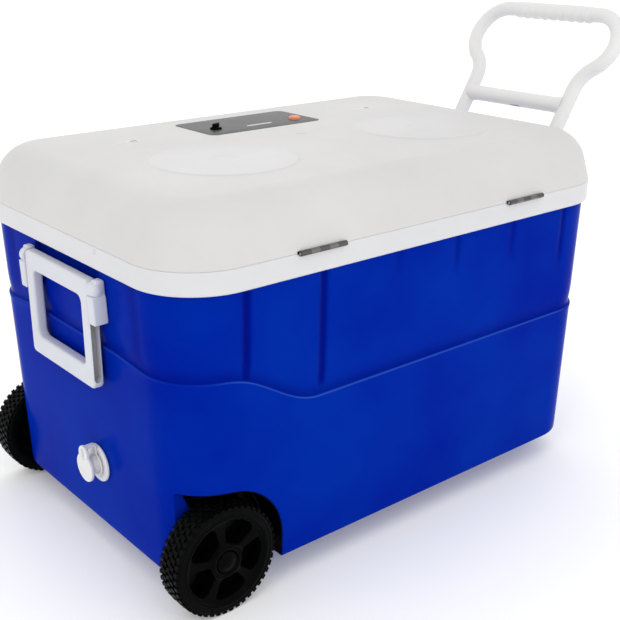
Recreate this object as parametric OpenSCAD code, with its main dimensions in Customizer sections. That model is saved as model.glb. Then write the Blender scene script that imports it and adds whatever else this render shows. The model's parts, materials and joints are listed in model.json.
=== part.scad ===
// Wheeled cool box: blue tub, deep off-white lid, two wheels at one end, a swing-up tow handle at the other.
// +X runs to the tow-handle end, -Y is the hinge side, +Z is up. The origin is on the floor, under the
// middle of the overall bounding box. Positions inside on_tub() are from the middle of the tub's underside.

/* [Tub] */
// Tub length at its top edge, mm
tub_l = 720; // [640:1:760]
// Tub width at its top edge, mm
tub_w = 492; // [420:1:520]
// Tub height, mm
tub_h = 360.5; // [300:0.5:400]
// How far a wall leans in for each mm of depth
draft = 0.032; // [0.01:0.001:0.05]
// Vertical corner radius at the top edge, mm
corner_r = 80; // [50:1:100]
// Blue shell thickness, mm
shell_t = 3.5; // [2.5:0.1:5]
// Whole wall thickness, outside to tank, mm
wall_t = 30; // [26:1:36]
// Inside floor of the tank above the tub's underside, mm
tank_floor = 70; // [64:1:80]
// Underside of the tub above the floor it stands on, mm
lift = 37.5; // [20:0.5:60]

/* [Side ledge] */
// Ledge height round the wheel end, mm
ledge_hi = 263; // [240:1:280]
// Ledge height along the rest of the tub, mm
ledge_lo = 204; // [180:1:230]
// Distance between the upright grooves on a long side, mm
groove_pitch = 108; // [90:1:120]

/* [Lid] */
// Collar height between tub and lid, mm
collar_h = 27.5; // [20:0.5:35]
// How far collar and lid stand out past the tub, mm
overhang = 5; // [4:0.5:12]
// Lid height above the parting line, mm
lid_h = 66.6; // [50:0.1:80]
// Radius along the lid's top edge, mm
lid_fillet = 50; // [20:1:55]
lid_lean = 16; // [0:1:20]
// Radius of the raised round panels, mm
roundel_r = 92; // [70:1:100]

/* [Wheels] */
// Wheel radius over the tread lugs, mm
wheel_r = 70; // [60:0.5:80]
// Outer face of each wheel from the centre line, mm
wheel_face = 242; // [235:0.5:250]
// Wheel width, mm
wheel_w = 37.5; // [30:0.5:45]
// Axle centre from the middle of the tub, towards the wheel end, mm
axle_x = 305; // [290:1:315]
// Axle radius, mm
axle_r = 5; // [4:0.5:6]

/* [Tow handle] */
// Lean of the handle from upright, as parked, degrees
tow_lean = 32; // [20:0.5:40]
// Half the distance between the handle's legs, mm
tow_leg = 99; // [80:1:120]
// Tube radius of the loop, mm
tow_r = 11; // [9:0.5:13]
// Pivot to grip centre, mm
tow_len = 288; // [260:1:300]

/* [Hidden] */
$fn = 48;
tub_x = -80;
a = atan(draft);
collar_z = tub_h + collar_h;
lid_z = collar_z + 1;
lid_top = lid_z + lid_h;
axle_z = wheel_r - lift;
well_in = 196;
well_r = 86;
rim_l = tub_l + 2 * overhang;
rim_w = tub_w + 2 * overhang;
mouth_l = tub_l - 2 * wall_t;
mouth_w = tub_w - 2 * wall_t;
hinge_y = -(rim_w / 2 + 2.6);
hinge_z = collar_z + 0.5;
hinge_xs = [-172, 172];
// The legs flare out by two equal bends before the grip
flare = 39;
bend_a = 2 * atan(0.5);
bend_r = flare / 2 / (1 - cos(bend_a));
leg_len = tow_len - bend_r - 2 * bend_r * sin(bend_a);
tow_px = 375.2;
tow_pz = 346;
bail_px = 367.8;
bail_pz = 338.5;
drain_y = 34;
drain_v = 92;
grey = [0.36, 0.37, 0.38];
steel = [0.72, 0.73, 0.75];
blue = [0.02, 0.12, 0.62];
cream = [0.88, 0.86, 0.83];
white = [0.93, 0.93, 0.93];
black = [0.05, 0.05, 0.05];

// ---------- shared shapes ----------

function half_l(z) = tub_l / 2 - draft * (tub_h - z);
function half_w(z) = tub_w / 2 - draft * (tub_h - z);
function corner_at(z, i) = max(corner_r - draft * (tub_h - z) - i, 8);
function ledge_z(x) = x < -300 ? ledge_hi : x > -176 ? ledge_lo
  : ledge_lo + (ledge_hi - ledge_lo) * (1 + cos(180 * (x + 300) / 124)) / 2;
// A point of the upright plane, seen along an end wall that leans by the draft angle
function wall_v(px, pz) = (px - half_l(0)) * sin(a) + pz * cos(a);
function wall_w(px, pz) = (px - half_l(0)) * cos(a) - pz * sin(a);

module on_tub() translate([tub_x, 0, lift]) children();

// Local x along the wall, y up it and z out of it
module on_side(s = 1) mirror([0, s < 0 ? 1 : 0, 0])
  translate([0, -half_w(0), 0]) rotate([90 + a, 0, 0]) children();
module on_end(s = 1) mirror([s < 0 ? 1 : 0, 0, 0])
  translate([-half_l(0), 0, 0]) rotate([0, 0, -90]) rotate([90 + a, 0, 0]) children();

module rounded(l, w, r) {
  square([l - 2 * r, w], center = true);
  square([l, w - 2 * r], center = true);
  for (x = [-1, 1], y = [-1, 1]) translate([x * (l / 2 - r), y * (w / 2 - r)]) circle(r);
}

module plate(l, w, r, z0, z1) translate([0, 0, z0]) linear_extrude(height = z1 - z0) rounded(l, w, r);

module between(x0, x1, y0, y1, z0, z1) translate([x0, y0, z0]) cube([x1 - x0, y1 - y0, z1 - z0]);

module both_sides() for (s = [0, 1]) mirror([0, s, 0]) children();

// Drafted block of the tub between two heights, inset from the outer faces
module slab(z0, z1, i0, i1, r = 0) {
  l0 = 2 * (half_l(z0) - i0);
  w0 = 2 * (half_w(z0) - i0);
  l1 = 2 * (half_l(z1) - i1);
  w1 = 2 * (half_w(z1) - i1);
  translate([0, 0, z0]) linear_extrude(height = z1 - z0, scale = [l1 / l0, w1 / w0], slices = 1)
    rounded(l0, w0, r > 0 ? r : corner_at(z0, i0));
}

module y_rod(r, y0, y1) translate([0, y0, 0]) rotate([-90, 0, 0]) cylinder(r = r, h = y1 - y0);

// Rounded-over block: vertical corner radius c; the walls lean in and run into a shoulder of radius f
module pillow(l, w, h, c, f) {
  z1 = h - f * (1 - sin(lid_lean));
  d1 = z1 * tan(lid_lean);
  module edge() intersection() {
    union() {
      polygon([[0, 0], [c, 0], [c - d1, z1], [c - d1 - f * cos(lid_lean), h], [0, h]]);
      translate([c - d1 - f * cos(lid_lean), h - f]) circle(f, $fn = 60);
    }
    square([c, h]);
  }
  hull() for (x = [-1, 1], y = [-1, 1])
    translate([x * (l / 2 - c), y * (w / 2 - c), 0]) rotate_extrude($fn = 48) edge();
}

// ---------- tub ----------

module wheel_well(g) both_sides() {
  translate([-axle_x, 0, axle_z]) y_rod(well_r + g, well_in - g, 320);
  between(-400, -axle_x, well_in - g, 320, -10, axle_z + well_r + g);
  between(-axle_x - well_r - g, -axle_x + well_r + g, well_in - g, 320, -10, axle_z);
}

module axle_channel(g) between(-axle_x - 8 - g, -axle_x + 8 + g, -well_in - 5, well_in + 5, -10, 40 + g);

module bail_pocket(g) between(-400, -351 + g, -80.5 - g, 80.5 + g, 322 - g, 357 + g);

// Tank space, grown by g for the layers round it
module tank(g, top) difference() {
  slab(tank_floor - g, top, wall_t - g, wall_t - g);
  both_sides() between(-400, -190 - g, 166 + g, 400, 0, 148 - g);
}

module ring_cut(z, d, x0, x1) difference() {
  between(x0, x1, -300, 300, z - 3.5, z + 3.5);
  slab(z - 5, z + 5, d, d, corner_at(12, 0) * half_w(z - 5) / half_w(12) - d);
}

module outer_shell() color(blue) on_tub() difference() {
  union() {
    slab(0, 12, 10, 0);
    slab(12, tub_h, 0, 0);
  }
  difference() {
    slab(shell_t, tub_h + 1, shell_t, shell_t);
    wheel_well(shell_t);
    axle_channel(shell_t);
    bail_pocket(shell_t);
  }
  wheel_well(0);
  axle_channel(0);
  bail_pocket(0);
  ring_cut(ledge_hi, 2, -400, -300);
  ring_cut(ledge_lo, 2, -176, 400);
  for (s = [-1, 1]) on_side(s) {
    translate([0, 0, -2]) linear_extrude(height = 8) polygon(concat(
      [for (x = [-301:6:-175]) [x, ledge_z(x) - 3.5]],
      [for (x = [-175:-6:-301]) [x, ledge_z(x) + 3.5]]));
    for (i = [-2.5:2.5]) translate([i * groove_pitch, ledge_z(i * groove_pitch) + 12, 6.2])
      rotate([-90, 0, 0]) cylinder(r = 8, h = 160);
  }
  for (y = [-170, 170]) on_end() translate([y, ledge_hi + 12, 6.2])
    rotate([-90, 0, 0]) cylinder(r = 8, h = 100);
  on_end() translate([drain_y, drain_v, -20]) cylinder(r = 12.2, h = 40);
  at_tow_screws() translate([0, 0, -6]) cylinder(r = 2.2, h = 8);
}

module liner() color(cream) on_tub() difference() {
  tank(2, tub_h);
  tank(0, tub_h + 1);
  on_end() translate([drain_y, drain_v, -60]) cylinder(r = 12.2, h = 60);
}

module foam_jacket() color([0.9, 0.88, 0.7]) on_tub() difference() {
  tank(14, tub_h - 4);
  tank(2, tub_h);
  on_end() translate([drain_y, drain_v, -60]) cylinder(r = 13, h = 60);
}

module collar() color(cream) on_tub() difference() {
  plate(rim_l, rim_w, corner_r + overhang, tub_h, collar_z);
  plate(mouth_l, mouth_w, corner_r - wall_t, tub_h - 1, collar_z + 1);
  difference() {
    plate(tub_l - 8, tub_w - 8, corner_r - 4, tub_h - 1, collar_z - 4);
    plate(mouth_l + 8, mouth_w + 8, corner_r - wall_t + 4, tub_h - 2, collar_z);
  }
  // finger scoop at the opening side
  translate([-60, rim_w / 2 + 5, collar_z - 2]) rotate([0, 90, 0]) cylinder(r = 12, h = 120);
  hinge_room();
  for (x = hinge_xs, i = [-22, 0, 22]) translate([x + i, -242, collar_z - 6]) cylinder(r = 2, h = 8);
}

// Moulded foot that levels the tub under the tow-handle end
module foot_block() color(blue) on_tub() difference() {
  union() {
    between(250, 322, -150, 150, -lift + 6, 0);
    between(254, 318, -146, 146, -lift, 0);
  }
  between(258, 314, -142, 142, -lift + 4, 1);
}

// ---------- wheels ----------

module at_axle() on_tub() translate([-axle_x, 0, axle_z]) children();

module axle() color(steel) at_axle() y_rod(axle_r, -237, 237);

module axle_saddles() color(black) at_axle() both_sides() difference() {
  between(-8, 8, 108, 132, -axle_z, 40 - axle_z);
  y_rod(axle_r, 100, 140);
}

module axle_push_nuts() color(steel) at_axle() both_sides() difference() {
  y_rod(9, 234.6, 236.2);
  y_rod(axle_r, 230, 240);
}

module wheel_core() {
  inner = wheel_face - wheel_w;
  difference() {
    union() {
      y_rod(18, well_in + 1.5, wheel_face - 2);
      y_rod(58, inner, wheel_face);
    }
    y_rod(axle_r + 0.05, 190, 250);
    y_rod(14, 234.2, 250);
    difference() {
      union() {
        y_rod(52, wheel_face - 4, wheel_face + 1);
        y_rod(52, inner - 1, inner + 12);
      }
      y_rod(18, inner - 2, wheel_face + 2);
    }
    for (k = [0:4]) rotate([0, 72 * k - 62, 0]) translate([0, wheel_face - 20, 0]) rotate([-90, 0, 0])
      linear_extrude(height = 30)
        polygon([for (p = [[23, -25], [49, -28], [51, -14], [51, 14], [49, 28], [23, 25]])
          [p[0] * cos(p[1]), p[0] * sin(p[1])]]);
  }
}

module tyre() {
  inner = wheel_face - wheel_w;
  difference() {
    y_rod(wheel_r - 2.5, inner, wheel_face);
    y_rod(58, inner - 1, wheel_face + 1);
  }
  for (k = [0:33], row = [0, 1]) rotate([0, 360 / 34 * (k + row / 2), 0])
    between(-3.8, 3.8, row ? wheel_face - 14 : inner + 1, row ? wheel_face - 1 : inner + 14,
            wheel_r - 4, wheel_r);
}

module hub_cap() difference() {
  y_rod(14, wheel_face - 4.5, wheel_face - 1);
  y_rod(10, wheel_face - 5, wheel_face - 3);
}

module left() at_axle() mirror([0, 1, 0]) children();
module right() at_axle() children();

module wheel_core_l() color(black) left() wheel_core();
module tyre_l() color(black) left() tyre();
module hub_cap_l() color(black) left() hub_cap();
module wheel_core_r() color(black) right() wheel_core();
module tyre_r() color(black) right() tyre();
module hub_cap_r() color(black) right() hub_cap();

// ---------- tow handle ----------

// Local x is the handle's sideways direction and local y its length from the pivots
module in_tow_plane() on_tub() translate([tow_px, 0, tow_pz])
  rotate([0, tow_lean, 0]) rotate([90, 0, 90]) children();

module bend(cx, cy, a0, a1) translate([cx, cy, 0]) rotate([0, 0, a0])
  rotate_extrude(angle = a1 - a0, $fn = 96) translate([bend_r, 0]) circle(tow_r);

module leg(r) rotate([-90, 0, 0]) cylinder(r = r, h = leg_len);

module tow_legs() color(white) in_tow_plane() for (s = [-1, 1]) translate([s * tow_leg, 0, 0]) difference() {
  union() {
    leg(tow_r);
    x_rod(12, 22);
  }
  x_rod(4.05, 40);
}

module tow_loop() color(white) in_tow_plane() {
  for (s = [0, 1]) mirror([s, 0, 0]) {
    bend(tow_leg + bend_r, leg_len, 180 - bend_a, 180);
    bend(tow_leg + flare - bend_r, tow_len - bend_r, -bend_a, 90);
  }
  translate([bend_r - flare - tow_leg, tow_len, 0]) rotate([0, 90, 0])
    cylinder(r = tow_r, h = 2 * (tow_leg + flare - bend_r));
}

module tow_crossbar() color(white) in_tow_plane() difference() {
  translate([-tow_leg, 134, 0]) rotate([0, 90, 0]) cylinder(r = 12, h = 2 * tow_leg);
  for (s = [-1, 1]) translate([s * tow_leg, 0, 0]) leg(tow_r);
}

module tow_grip() color(white) in_tow_plane() translate([-77, tow_len, 0]) rotate([0, 90, 0]) difference() {
  union() {
    cylinder(r = 12, h = 154);
    for (k = [0:10]) translate([0, 0, 4 + 14 * k]) cylinder(r = 12.8, h = 6);
  }
  translate([0, 0, -1]) cylinder(r = tow_r, h = 160);
}

module at_tow(s) on_end(-1) translate([s * tow_leg, wall_v(tow_px, tow_pz), 0]) children();
module at_tow_screws() for (s = [-1, 1]) at_tow(s)
  for (x = [-26, 26], y = [-11, 4]) translate([x, y, 0]) children();

module x_rod(r, h) rotate([0, 90, 0]) cylinder(r = r, h = h, center = true);

module tow_bracket(s) on_tub() at_tow(s) {
  w = wall_w(tow_px, tow_pz);
  difference() {
    union() {
      between(-34, 34, -18, 11, 0, 3);
      for (x = [-17.4, 11.4]) {
        between(x, x + 6, -11, 11, 0, w);
        translate([x + 3, 0, w]) x_rod(11, 6);
      }
    }
    translate([0, 0, w]) x_rod(4, 60);
    for (x = [-26, 26], y = [-11, 4]) translate([x, y, -1]) cylinder(r = 2.2, h = 6);
  }
}

module tow_bracket_l() color(white) tow_bracket(-1);
module tow_bracket_r() color(white) tow_bracket(1);

module tow_pins() color(steel) on_tub()
  for (s = [-1, 1]) at_tow(s) translate([0, 0, wall_w(tow_px, tow_pz)]) {
  x_rod(4, 35);
  for (x = [-18.6, 18.6]) translate([x, 0, 0]) x_rod(6.5, 2.4);
}

module tow_screws() color(steel) on_tub() at_tow_screws() {
  translate([0, 0, -3]) cylinder(r = 2.2, h = 7);
  translate([0, 0, 3]) cylinder(r = 4.4, h = 2.2);
}

// ---------- carry handle ----------

module carry_bracket(s) on_tub() on_end() {
  v = wall_v(bail_px, bail_pz);
  w = wall_w(bail_px, bail_pz);
  difference() {
    union() {
      between(s > 0 ? 80.6 : -94.4, s > 0 ? 94.4 : -80.6, 298, v, 0, 17);
      translate([s * 87.5, v, w]) x_rod(8.5, 13.8);
      translate([s * 87.5, v + 9, w]) sphere(6.2);
    }
    translate([s * 87.5, v, w]) x_rod(3, 40);
  }
}

module carry_bracket_l() color(white) carry_bracket(-1);
module carry_bracket_r() color(white) carry_bracket(1);

module carry_pins() color(steel) on_tub() on_end() for (s = [-1, 1])
  translate([s * 81.5, wall_v(bail_px, bail_pz), wall_w(bail_px, bail_pz)]) x_rod(3, 25);

// Rectangular ring with hollowed legs; both ends of the top run turn on the pins
module carry_bail() color(white) on_tub() difference() {
  translate([-374.8, 0, 282]) rotate([90, 0, 90]) linear_extrude(height = 14) difference() {
    rounded(160, 138, 6);
    translate([0, 1.75]) rounded(127, 84.5, 6);
  }
  for (s = [0, 1]) mirror([0, s, 0]) {
    between(-371.8, -363.8, 68, 81, 230, 297);
    translate([-367.8, 0, 230]) y_rod(4, 68, 81);
    translate([-bail_px, 0, bail_pz]) y_rod(3.05, 68.5, 81);
  }
  between(-371.8, -363.8, -66, 66, 212, 226);
}

// ---------- drain ----------

module at_drain() on_tub() on_end() translate([drain_y, drain_v, 0]) children();

module drain_spout() color(white) at_drain() difference() {
  union() {
    translate([0, 0, -40]) cylinder(r = 12, h = 58);
    translate([0, 0, 1.2]) cylinder(r = 25, h = 3.8);
  }
  translate([0, 0, -41]) cylinder(r = 9, h = 60);
}

module drain_gasket() color(black) at_drain() difference() {
  cylinder(r = 23, h = 1.2);
  translate([0, 0, -1]) cylinder(r = 12, h = 3);
}

module drain_nut() color(white) at_drain() difference() {
  translate([0, 0, -wall_t - 8]) cylinder(r = 19, h = 7.6, $fn = 6);
  translate([0, 0, -wall_t - 9]) cylinder(r = 12, h = 10);
}

module drain_cap() color(white) at_drain() difference() {
  union() {
    translate([0, 0, 18.2]) cylinder(r = 19, h = 4.5);
    translate([0, 20, 18.2]) cylinder(r = 10.5, h = 4.5);
    translate([0, 0, 10]) cylinder(r = 8.6, h = 9);
  }
  translate([0, 0, 9]) cylinder(r = 6, h = 10);
  translate([0, 21, 20]) cylinder(r = 4.5, h = 4);
}

module drain_strap() color(white) at_drain() difference() {
  union() {
    translate([0, 0, 5.3]) cylinder(r = 16, h = 2.2);
    between(-5, 5, 12, 27.5, 5.3, 7.5);
    between(-5, 5, 25.5, 27.5, 7, 18.2);
  }
  translate([0, 0, 4]) cylinder(r = 12.4, h = 5);
}

// ---------- lid hinges ----------

knuckle = 13;
module knuckles(r, own, grow) for (k = own)
  translate([-33 + k * 13.3 + (13.3 - knuckle) / 2 - grow, hinge_y, hinge_z])
    rotate([0, 90, 0]) cylinder(r = r, h = knuckle + 2 * grow);

// Space the hinge needs in the mouldings beside it
module hinge_room() for (x = hinge_xs) translate([x, 0, 0]) {
  translate([-35, hinge_y, hinge_z]) rotate([0, 90, 0]) cylinder(r = 3.7, h = 70);
  between(-34, 34, hinge_y, -233, collar_z - 1.2, lid_z + 1.2);
}

module hinge_leaf(own, other, z0, bore) difference() {
  union() {
    difference() {
      between(-33, 33.5, hinge_y, -234, z0, z0 + 1.2);
      knuckles(3.6, other, 0.15);
    }
    knuckles(3.2, own, 0);
  }
  translate([-40, hinge_y, hinge_z]) rotate([0, 90, 0]) cylinder(r = bore, h = 80);
  for (x = [-22, 0, 22]) translate([x, -242, z0 - 1]) cylinder(r = 2, h = 4);
}

module leaf_tub(x) color(steel) on_tub() translate([x, 0, 0])
  hinge_leaf([0, 2, 4], [1, 3], collar_z - 1.2, 1.5);
module leaf_lid(x) color(steel) on_tub() translate([x, 0, 0]) hinge_leaf([1, 3], [0, 2, 4], lid_z, 1.55);
module hinge_leaf_tub_l() leaf_tub(hinge_xs[0]);
module hinge_leaf_tub_r() leaf_tub(hinge_xs[1]);
module hinge_leaf_lid_l() leaf_lid(hinge_xs[0]);
module hinge_leaf_lid_r() leaf_lid(hinge_xs[1]);

module hinge_pins() color(steel) on_tub() for (x = hinge_xs) translate([x - 33.4, hinge_y, hinge_z])
  rotate([0, 90, 0]) cylinder(r = 1.5, h = 67.3);

module hinge_screws_tub() color(steel) on_tub() for (x = hinge_xs, i = [-22, 0, 22])
  translate([x + i, -242, collar_z - 4]) cylinder(r = 2, h = 4);

module hinge_screws_lid() color(steel) on_tub() for (x = hinge_xs, i = [-22, 0, 22])
  translate([x + i, -242, lid_z]) cylinder(r = 2, h = 3);

// ---------- lid ----------

panel_c = [-0.5, 119];
knob_c = [-66, 105.5];
button_c = [69.5, 100];
plug_xs = [-207, 207];

module lid_shell() color(cream) on_tub() difference() {
  union() {
    difference() {
      translate([0, 0, lid_z]) pillow(rim_l, rim_w, lid_h, corner_r + overhang, lid_fillet);
      translate([0, 0, lid_z - 0.01])
        pillow(rim_l - 6, rim_w - 6, lid_h - 3, corner_r + overhang - 3, lid_fillet - 3);
    }
    translate([8, 10, lid_top - 1]) cylinder(r = 7, h = 1.6);
  }
  for (s = [-1, 1]) translate([s * 168.5, -61, lid_top - 0.8]) cylinder(r = roundel_r, h = 2, $fn = 96);
  translate([panel_c[0], panel_c[1], 0]) plate(192.4, 101.4, 11.2, lid_top - 1.8, lid_top + 1);
  translate([knob_c[0], knob_c[1], lid_top - 6]) cylinder(r = 3.4, h = 8);
  translate([button_c[0], button_c[1], lid_top - 6]) cylinder(r = 8.9, h = 8);
  for (x = plug_xs) translate([x, 105, 0]) plate(34, 9, 4.4, lid_top - 4, lid_top + 1);
  hinge_room();
}

module lid_liner() color(cream) on_tub() difference() {
  union() {
    plate(rim_l - 7.9, rim_w - 7.9, corner_r + overhang - 3.95, lid_z, lid_z + 3);
    plate(mouth_l - 8, mouth_w - 8, corner_r - wall_t - 4, lid_z - 20, lid_z + 1);
  }
  plate(mouth_l - 13, mouth_w - 13, corner_r - wall_t - 6.5, lid_z - 17.5, lid_z + 4);
  difference() {
    plate(mouth_l + 30, mouth_w + 30, corner_r - 15, lid_z - 1, lid_z + 1.5);
    plate(mouth_l + 18, mouth_w + 18, corner_r - 21, lid_z - 2, lid_z + 2);
  }
  hinge_room();
  for (x = hinge_xs, i = [-22, 0, 22]) translate([x + i, -242, lid_z]) cylinder(r = 2, h = 3);
}

module lid_foam() color([0.9, 0.88, 0.7]) on_tub()
  plate(mouth_l - 14, mouth_w - 14, corner_r - wall_t - 7, lid_z - 17.5, lid_z + 3);

module lid_seal() color(grey) on_tub() difference() {
  plate(mouth_l + 29.6, mouth_w + 29.6, corner_r - 15.2, lid_z - 0.7, lid_z + 1.5);
  plate(mouth_l + 18.4, mouth_w + 18.4, corner_r - 20.8, lid_z - 2, lid_z + 2);
}

module roundel(s) color(white) on_tub() translate([s * 168.5, -61, lid_top - 0.8]) difference() {
  cylinder(r = roundel_r, h = 2.3, $fn = 96);
  translate([0, 0, 1.7]) cylinder(r = roundel_r - 8, h = 2, $fn = 96);
  translate([0, 0, 1.3]) cylinder(r = 17, h = 2);
}

module roundel_l() roundel(-1);
module roundel_r() roundel(1);

module lid_plug(x) color(grey) on_tub() translate([x, 105, 0]) difference() {
  plate(34, 9, 4.4, lid_top - 3, lid_top + 0.5);
  translate([9, 0, 0]) plate(11, 5, 2.4, lid_top - 4, lid_top + 1);
  translate([-8, 0, 0]) plate(13, 3, 1.4, lid_top - 0.4, lid_top + 1);
}

module lid_plug_l() lid_plug(plug_xs[0]);
module lid_plug_r() lid_plug(plug_xs[1]);

// ---------- controls on the lid ----------

module panel_plate() color(grey) on_tub() difference() {
  translate([panel_c[0], panel_c[1], 0]) plate(192, 101, 11, lid_top - 1.8, lid_top + 0.4);
  translate([3, 97, 0]) plate(43, 4, 1.5, lid_top - 0.2, lid_top + 1);
  translate([knob_c[0], knob_c[1], lid_top - 4]) cylinder(r = 3.05, h = 6);
  translate([button_c[0], button_c[1], lid_top - 4]) cylinder(r = 8.8, h = 6);
}

module indicator_bar() color(white) on_tub() translate([3, 97, 0])
  plate(43, 4, 1.5, lid_top - 0.2, lid_top + 0.7);

module selector_knob() color(black) on_tub() translate([knob_c[0], knob_c[1], lid_top]) {
  translate([0, 0, -5]) cylinder(r = 3, h = 6);
  translate([0, 0, 0.7]) cylinder(r = 8.5, h = 3);
  rotate([0, 0, 25]) between(-9.5, 9.5, -2.5, 2.5, 3, 9);
}

module push_button() color([0.85, 0.32, 0.12]) on_tub() translate([button_c[0], button_c[1], lid_top - 3]) {
  cylinder(r = 8.5, h = 6.2);
  translate([0, 0, 6]) cylinder(r = 6.5, h = 1.4);
}

outer_shell();
liner();
foam_jacket();
collar();
foot_block();
axle();
axle_saddles();
axle_push_nuts();
wheel_core_l();
tyre_l();
hub_cap_l();
wheel_core_r();
tyre_r();
hub_cap_r();
tow_bracket_l();
tow_bracket_r();
tow_pins();
tow_screws();
tow_legs();
tow_loop();
tow_crossbar();
tow_grip();
carry_bracket_l();
carry_bracket_r();
carry_pins();
carry_bail();
drain_spout();
drain_gasket();
drain_nut();
drain_cap();
drain_strap();
hinge_leaf_tub_l();
hinge_leaf_tub_r();
hinge_pins();
hinge_screws_tub();
hinge_leaf_lid_l();
hinge_leaf_lid_r();
hinge_screws_lid();
lid_shell();
lid_liner();
lid_foam();
lid_seal();
roundel_l();
roundel_r();
lid_plug_l();
lid_plug_r();
panel_plate();
indicator_bar();
selector_knob();
push_button();
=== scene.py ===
import json
import math

import bmesh
import bpy
from mathutils import Matrix, Vector

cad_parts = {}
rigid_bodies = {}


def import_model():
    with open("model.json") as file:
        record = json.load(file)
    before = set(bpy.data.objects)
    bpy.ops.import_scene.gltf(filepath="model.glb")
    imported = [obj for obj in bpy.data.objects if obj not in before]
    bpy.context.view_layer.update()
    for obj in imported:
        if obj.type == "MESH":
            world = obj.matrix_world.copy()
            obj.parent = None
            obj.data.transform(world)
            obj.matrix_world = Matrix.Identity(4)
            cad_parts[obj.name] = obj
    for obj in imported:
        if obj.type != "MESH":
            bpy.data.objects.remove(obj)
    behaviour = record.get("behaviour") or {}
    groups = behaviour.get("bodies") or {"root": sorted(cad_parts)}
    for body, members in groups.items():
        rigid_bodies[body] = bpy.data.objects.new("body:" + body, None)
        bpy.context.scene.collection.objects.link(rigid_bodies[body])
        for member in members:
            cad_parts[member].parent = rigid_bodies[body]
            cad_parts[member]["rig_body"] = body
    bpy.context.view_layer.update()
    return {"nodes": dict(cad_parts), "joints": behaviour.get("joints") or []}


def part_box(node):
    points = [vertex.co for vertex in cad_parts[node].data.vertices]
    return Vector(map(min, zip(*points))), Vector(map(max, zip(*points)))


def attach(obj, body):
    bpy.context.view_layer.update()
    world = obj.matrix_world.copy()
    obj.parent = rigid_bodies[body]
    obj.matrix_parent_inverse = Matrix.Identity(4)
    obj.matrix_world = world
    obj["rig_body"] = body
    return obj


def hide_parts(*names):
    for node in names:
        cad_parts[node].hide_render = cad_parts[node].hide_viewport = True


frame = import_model()


def move(x, y, z):
    return Matrix.Translation((x, y, z))


def turn(degrees, axis):
    return Matrix.Rotation(math.radians(degrees), 4, axis)


# ---------- places, in millimetres from the middle of the tub's underside ----------

shell_lo, shell_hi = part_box("outer_shell")
rim_lo, rim_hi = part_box("collar")
TO_ROW = move((rim_lo.x + rim_hi.x) / 2, 0, shell_lo.z) @ Matrix.Scale(0.001, 4)
TO_TUB = TO_ROW.inverted()


def local(point):
    """A row-frame point in tub millimetres."""
    return TO_TUB @ Vector(point)


HALF_L = (shell_hi.x - shell_lo.x) * 500
HALF_W = (shell_hi.y - shell_lo.y) * 500
TUB_H = local(shell_hi).z
COLLAR_Z = local(rim_hi).z
RIM_L = (rim_hi.x - rim_lo.x) * 500
RIM_W = (rim_hi.y - rim_lo.y) * 500
LID_Z = local(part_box("lid_shell")[0]).z
LID_TOP = LID_Z + 66.6  # the flat of the lid, below the control knob
CORNER = 80.0
DRAFT = 0.032  # how far the walls lean in for each millimetre down
LEAN = math.atan(DRAFT)
WALL, FLOOR = 30.0, 70.0  # tank wall and floor thickness
LEDGE_HI, LEDGE_LO = 263.0, 204.0  # the step's height at the wheel end and along the sides
OVER = RIM_L - HALF_L  # how far the collar overhangs the tub
AXLE = local((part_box("axle")[0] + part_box("axle")[1]) / 2)
WHEEL_R = 70.0
WHEEL_FACE = local(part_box("tyre_r")[1]).y
WHEEL_IN = local(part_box("tyre_r")[0]).y
WELL_IN, WELL_R = 196.0, 86.0
joints = {j["name"]: j for j in frame["joints"]}


def half_l(z):
    return HALF_L - DRAFT * (TUB_H - z)


def half_w(z):
    return HALF_W - DRAFT * (TUB_H - z)


# ---------- materials ----------


class Look:
    """A procedural material while it is put together."""

    def __init__(self, name):
        self.mat = bpy.data.materials.new(name)
        self.mat.use_nodes = True
        self.nodes = self.mat.node_tree.nodes
        self.link = self.mat.node_tree.links.new
        self.shader = self.nodes["Principled BSDF"]
        self.place = self.nodes.new("ShaderNodeTexCoord").outputs["Object"]

    def node(self, kind, values=(), source=None, socket="Fac"):
        """A new node with some of its sockets set, and one of them fed by source."""
        node = self.nodes.new(kind)
        for name, value in dict(values).items():
            node.inputs[name].default_value = value
        if source is not None:
            self.link(source, node.inputs[socket])
        return node

    def noise(self, scale, detail=4.0, rough=0.5, place=None):
        return self.node("ShaderNodeTexNoise", {"Scale": scale, "Detail": detail, "Roughness": rough},
                         self.place if place is None else place, "Vector").outputs["Fac"]

    def ramp(self, source, *stops):
        node = self.node("ShaderNodeValToRGB", (), source)
        for element, (at, colour) in zip(node.color_ramp.elements, stops):
            element.position = at
            element.color = (*colour, 1)
        return node.outputs["Color"]

    def bump(self, source, strength, distance, under=None):
        node = self.node("ShaderNodeBump", {"Strength": strength, "Distance": distance}, source, "Height")
        if under is not None:
            self.link(under, node.inputs["Normal"])
        return node.outputs["Normal"]

    def finish(self, colour, normal, rough=None, values=()):
        """Joins everything to the shader. rough is (source, lowest, highest); values are plain sockets."""
        self.link(colour, self.shader.inputs["Base Color"])
        self.link(normal, self.shader.inputs["Normal"])
        if rough:
            span = self.node("ShaderNodeMapRange", {"To Min": rough[1], "To Max": rough[2]}, rough[0], "Value")
            self.link(span.outputs["Result"], self.shader.inputs["Roughness"])
        for name, value in dict(values).items():
            self.shader.inputs[name].default_value = value
        return self.mat


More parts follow.
